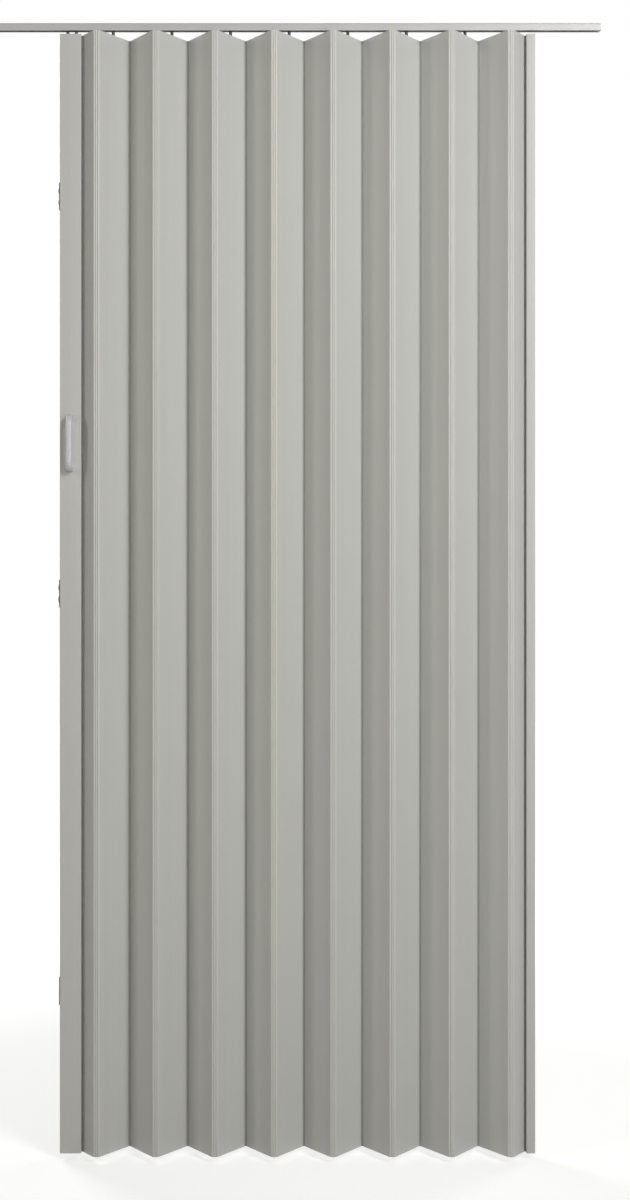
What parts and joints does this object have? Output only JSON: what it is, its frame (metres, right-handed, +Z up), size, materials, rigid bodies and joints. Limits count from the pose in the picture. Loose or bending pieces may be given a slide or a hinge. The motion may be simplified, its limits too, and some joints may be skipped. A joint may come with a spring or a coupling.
{
  "type": "vinyl folding door",
  "caption": "Hollow vinyl slats folding on two-bead hinge strips between a lead post with bow handles and a fixed post, hung by glides in a slotted steel track.",
  "frame": {"origin": "middle of the track's top face, on the line of its screw holes", "axes": "+X along the track towards the fixed post, -Y the front, +Z up"},
  "size_m": [1.219, 0.0794, 2.0215],
  "materials": {
    "vinyl": "satin",
    "strip_vinyl": "satin",
    "track_steel": "satin",
    "glide_plastic": "matte",
    "handle_plastic": "gloss",
    "screw_steel": "polished",
    "catch_steel": "dark"
  },
  "bodies": {
    "root": {"track": "track_steel", "fixed_post": "vinyl", "fixed_post_strip": "strip_vinyl"},
    "half_slat_fixed": {"half_panel_fixed": "vinyl"},
    "front_hinge_1": {"front_strip_1": "strip_vinyl"},
    "slat_01": {"panel_01": "vinyl"},
    "rear_hinge_1": {"rear_strip_1": "strip_vinyl"},
    "slat_02": {"panel_02": "vinyl", "glide_1": "glide_plastic"},
    "front_hinge_2": {"front_strip_2": "strip_vinyl"},
    "slat_03": {"panel_03": "vinyl"},
    "rear_hinge_2": {"rear_strip_2": "strip_vinyl"},
    "slat_04": {"panel_04": "vinyl", "glide_2": "glide_plastic"},
    "front_hinge_3": {"front_strip_3": "strip_vinyl"},
    "slat_05": {"panel_05": "vinyl"},
    "rear_hinge_3": {"rear_strip_3": "strip_vinyl"},
    "slat_06": {"panel_06": "vinyl", "glide_3": "glide_plastic"},
    "front_hinge_4": {"front_strip_4": "strip_vinyl"},
    "slat_07": {"panel_07": "vinyl"},
    "rear_hinge_4": {"rear_strip_4": "strip_vinyl"},
    "slat_08": {"panel_08": "vinyl", "glide_4": "glide_plastic"},
    "front_hinge_5": {"front_strip_5": "strip_vinyl"},
    "slat_09": {"panel_09": "vinyl"},
    "rear_hinge_5": {"rear_strip_5": "strip_vinyl"},
    "slat_10": {"panel_10": "vinyl", "glide_5": "glide_plastic"},
    "front_hinge_6": {"front_strip_6": "strip_vinyl"},
    "slat_11": {"panel_11": "vinyl"},
    "rear_hinge_6": {"rear_strip_6": "strip_vinyl"},
    "slat_12": {"panel_12": "vinyl", "glide_6": "glide_plastic"},
    "front_hinge_7": {"front_strip_7": "strip_vinyl"},
    "slat_13": {"panel_13": "vinyl"},
    "rear_hinge_7": {"rear_strip_7": "strip_vinyl"},
    "slat_14": {"panel_14": "vinyl", "glide_7": "glide_plastic"},
    "front_hinge_8": {"front_strip_8": "strip_vinyl"},
    "half_slat_lead": {"half_panel_lead": "vinyl"},
    "lead": {"lead_post": "vinyl", "lead_post_strip": "strip_vinyl", "lead_top_plug": "glide_plastic", "lead_glides": "glide_plastic", "handle_front": "handle_plastic", "handle_back": "handle_plastic", "handle_screws": "screw_steel", "catch_upper": "catch_steel", "catch_middle": "catch_steel", "catch_lower": "catch_steel"}
  },
  "joints": [
    {"name": "half_slat_fixed_turn", "type": "hinge", "parent": "root", "child": "half_slat_fixed", "pos_m": [0.4719, 0, -1.0215], "axis": [0, 0, 1], "range_deg": [-16.1, 32.7]},
    {"name": "front_hinge_1_turn", "type": "hinge", "parent": "half_slat_fixed", "child": "front_hinge_1", "pos_m": [0.44913, -0.03289, -1.0215], "axis": [0, 0, 1], "range_deg": [-32.7, 16.1]},
    {"name": "slat_01_turn", "type": "hinge", "parent": "front_hinge_1", "child": "slat_01", "pos_m": [0.44213, -0.03289, -1.0215], "axis": [0, 0, 1], "range_deg": [-32.7, 16.1]},
    {"name": "rear_hinge_1_turn", "type": "hinge", "parent": "slat_01", "child": "rear_hinge_1", "pos_m": [0.39659, 0.03289, -1.0215], "axis": [0, 0, 1], "range_deg": [-16.1, 32.7]},
    {"name": "slat_02_turn", "type": "hinge", "parent": "rear_hinge_1", "child": "slat_02", "pos_m": [0.38959, 0.03289, -1.0215], "axis": [0, 0, 1], "range_deg": [-16.1, 32.7]},
    {"name": "front_hinge_2_turn", "type": "hinge", "parent": "slat_02", "child": "front_hinge_2", "pos_m": [0.34404, -0.03289, -1.0215], "axis": [0, 0, 1], "range_deg": [-32.7, 16.1]},
    {"name": "slat_03_turn", "type": "hinge", "parent": "front_hinge_2", "child": "slat_03", "pos_m": [0.33704, -0.03289, -1.0215], "axis": [0, 0, 1], "range_deg": [-32.7, 16.1]},
    {"name": "rear_hinge_2_turn", "type": "hinge", "parent": "slat_03", "child": "rear_hinge_2", "pos_m": [0.2915, 0.03289, -1.0215], "axis": [0, 0, 1], "range_deg": [-16.1, 32.7]},
    {"name": "slat_04_turn", "type": "hinge", "parent": "rear_hinge_2", "child": "slat_04", "pos_m": [0.2845, 0.03289, -1.0215], "axis": [0, 0, 1], "range_deg": [-16.1, 32.7]},
    {"name": "front_hinge_3_turn", "type": "hinge", "parent": "slat_04", "child": "front_hinge_3", "pos_m": [0.23896, -0.03289, -1.0215], "axis": [0, 0, 1], "range_deg": [-32.7, 16.1]},
    {"name": "slat_05_turn", "type": "hinge", "parent": "front_hinge_3", "child": "slat_05", "pos_m": [0.23196, -0.03289, -1.0215], "axis": [0, 0, 1], "range_deg": [-32.7, 16.1]},
    {"name": "rear_hinge_3_turn", "type": "hinge", "parent": "slat_05", "child": "rear_hinge_3", "pos_m": [0.18642, 0.03289, -1.0215], "axis": [0, 0, 1], "range_deg": [-16.1, 32.7]},
    {"name": "slat_06_turn", "type": "hinge", "parent": "rear_hinge_3", "child": "slat_06", "pos_m": [0.17942, 0.03289, -1.0215], "axis": [0, 0, 1], "range_deg": [-16.1, 32.7]},
    {"name": "front_hinge_4_turn", "type": "hinge", "parent": "slat_06", "child": "front_hinge_4", "pos_m": [0.13387, -0.03289, -1.0215], "axis": [0, 0, 1], "range_deg": [-32.7, 16.1]},
    {"name": "slat_07_turn", "type": "hinge", "parent": "front_hinge_4", "child": "slat_07", "pos_m": [0.12687, -0.03289, -1.0215], "axis": [0, 0, 1], "range_deg": [-32.7, 16.1]},
    {"name": "rear_hinge_4_turn", "type": "hinge", "parent": "slat_07", "child": "rear_hinge_4", "pos_m": [0.08133, 0.03289, -1.0215], "axis": [0, 0, 1], "range_deg": [-16.1, 32.7]},
    {"name": "slat_08_turn", "type": "hinge", "parent": "rear_hinge_4", "child": "slat_08", "pos_m": [0.07433, 0.03289, -1.0215], "axis": [0, 0, 1], "range_deg": [-16.1, 32.7]},
    {"name": "front_hinge_5_turn", "type": "hinge", "parent": "slat_08", "child": "front_hinge_5", "pos_m": [0.02879, -0.03289, -1.0215], "axis": [0, 0, 1], "range_deg": [-32.7, 16.1]},
    {"name": "slat_09_turn", "type": "hinge", "parent": "front_hinge_5", "child": "slat_09", "pos_m": [0.02179, -0.03289, -1.0215], "axis": [0, 0, 1], "range_deg": [-32.7, 16.1]},
    {"name": "rear_hinge_5_turn", "type": "hinge", "parent": "slat_09", "child": "rear_hinge_5", "pos_m": [-0.02375, 0.03289, -1.0215], "axis": [0, 0, 1], "range_deg": [-16.1, 32.7]},
    {"name": "slat_10_turn", "type": "hinge", "parent": "rear_hinge_5", "child": "slat_10", "pos_m": [-0.03075, 0.03289, -1.0215], "axis": [0, 0, 1], "range_deg": [-16.1, 32.7]},
    {"name": "front_hinge_6_turn", "type": "hinge", "parent": "slat_10", "child": "front_hinge_6", "pos_m": [-0.07629, -0.03289, -1.0215], "axis": [0, 0, 1], "range_deg": [-32.7, 16.1]},
    {"name": "slat_11_turn", "type": "hinge", "parent": "front_hinge_6", "child": "slat_11", "pos_m": [-0.08329, -0.03289, -1.0215], "axis": [0, 0, 1], "range_deg": [-32.7, 16.1]},
    {"name": "rear_hinge_6_turn", "type": "hinge", "parent": "slat_11", "child": "rear_hinge_6", "pos_m": [-0.12884, 0.03289, -1.0215], "axis": [0, 0, 1], "range_deg": [-16.1, 32.7]},
    {"name": "slat_12_turn", "type": "hinge", "parent": "rear_hinge_6", "child": "slat_12", "pos_m": [-0.13584, 0.03289, -1.0215], "axis": [0, 0, 1], "range_deg": [-16.1, 32.7]},
    {"name": "front_hinge_7_turn", "type": "hinge", "parent": "slat_12", "child": "front_hinge_7", "pos_m": [-0.18138, -0.03289, -1.0215], "axis": [0, 0, 1], "range_deg": [-32.7, 16.1]},
    {"name": "slat_13_turn", "type": "hinge", "parent": "front_hinge_7", "child": "slat_13", "pos_m": [-0.18838, -0.03289, -1.0215], "axis": [0, 0, 1], "range_deg": [-32.7, 16.1]},
    {"name": "rear_hinge_7_turn", "type": "hinge", "parent": "slat_13", "child": "rear_hinge_7", "pos_m": [-0.23392, 0.03289, -1.0215], "axis": [0, 0, 1], "range_deg": [-16.1, 32.7]},
    {"name": "slat_14_turn", "type": "hinge", "parent": "rear_hinge_7", "child": "slat_14", "pos_m": [-0.24092, 0.03289, -1.0215], "axis": [0, 0, 1], "range_deg": [-16.1, 32.7]},
    {"name": "front_hinge_8_turn", "type": "hinge", "parent": "slat_14", "child": "front_hinge_8", "pos_m": [-0.28646, -0.03289, -1.0215], "axis": [0, 0, 1], "range_deg": [-32.7, 16.1]},
    {"name": "half_slat_lead_turn", "type": "hinge", "parent": "front_hinge_8", "child": "half_slat_lead", "pos_m": [-0.29346, -0.03289, -1.0215], "axis": [0, 0, 1], "range_deg": [-32.7, 16.1]},
    {"name": "fold", "type": "hinge", "parent": "half_slat_lead", "child": "lead", "pos_m": [-0.31624, 0, -1.0215], "axis": [0, 0, 1], "range_deg": [-16.1, 32.7]}
  ],
  "couplings": [
    {"joint": "half_slat_fixed_turn", "follows": "fold", "ratio": 1},
    {"joint": "front_hinge_1_turn", "follows": "fold", "ratio": -1},
    {"joint": "slat_01_turn", "follows": "fold", "ratio": -1},
    {"joint": "rear_hinge_1_turn", "follows": "fold", "ratio": 1},
    {"joint": "slat_02_turn", "follows": "fold", "ratio": 1},
    {"joint": "front_hinge_2_turn", "follows": "fold", "ratio": -1},
    {"joint": "slat_03_turn", "follows": "fold", "ratio": -1},
    {"joint": "rear_hinge_2_turn", "follows": "fold", "ratio": 1},
    {"joint": "slat_04_turn", "follows": "fold", "ratio": 1},
    {"joint": "front_hinge_3_turn", "follows": "fold", "ratio": -1},
    {"joint": "slat_05_turn", "follows": "fold", "ratio": -1},
    {"joint": "rear_hinge_3_turn", "follows": "fold", "ratio": 1},
    {"joint": "slat_06_turn", "follows": "fold", "ratio": 1},
    {"joint": "front_hinge_4_turn", "follows": "fold", "ratio": -1},
    {"joint": "slat_07_turn", "follows": "fold", "ratio": -1},
    {"joint": "rear_hinge_4_turn", "follows": "fold", "ratio": 1},
    {"joint": "slat_08_turn", "follows": "fold", "ratio": 1},
    {"joint": "front_hinge_5_turn", "follows": "fold", "ratio": -1},
    {"joint": "slat_09_turn", "follows": "fold", "ratio": -1},
    {"joint": "rear_hinge_5_turn", "follows": "fold", "ratio": 1},
    {"joint": "slat_10_turn", "follows": "fold", "ratio": 1},
    {"joint": "front_hinge_6_turn", "follows": "fold", "ratio": -1},
    {"joint": "slat_11_turn", "follows": "fold", "ratio": -1},
    {"joint": "rear_hinge_6_turn", "follows": "fold", "ratio": 1},
    {"joint": "slat_12_turn", "follows": "fold", "ratio": 1},
    {"joint": "front_hinge_7_turn", "follows": "fold", "ratio": -1},
    {"joint": "slat_13_turn", "follows": "fold", "ratio": -1},
    {"joint": "rear_hinge_7_turn", "follows": "fold", "ratio": 1},
    {"joint": "slat_14_turn", "follows": "fold", "ratio": 1},
    {"joint": "front_hinge_8_turn", "follows": "fold", "ratio": -1},
    {"joint": "half_slat_lead_turn", "follows": "fold", "ratio": -1}
  ]
}
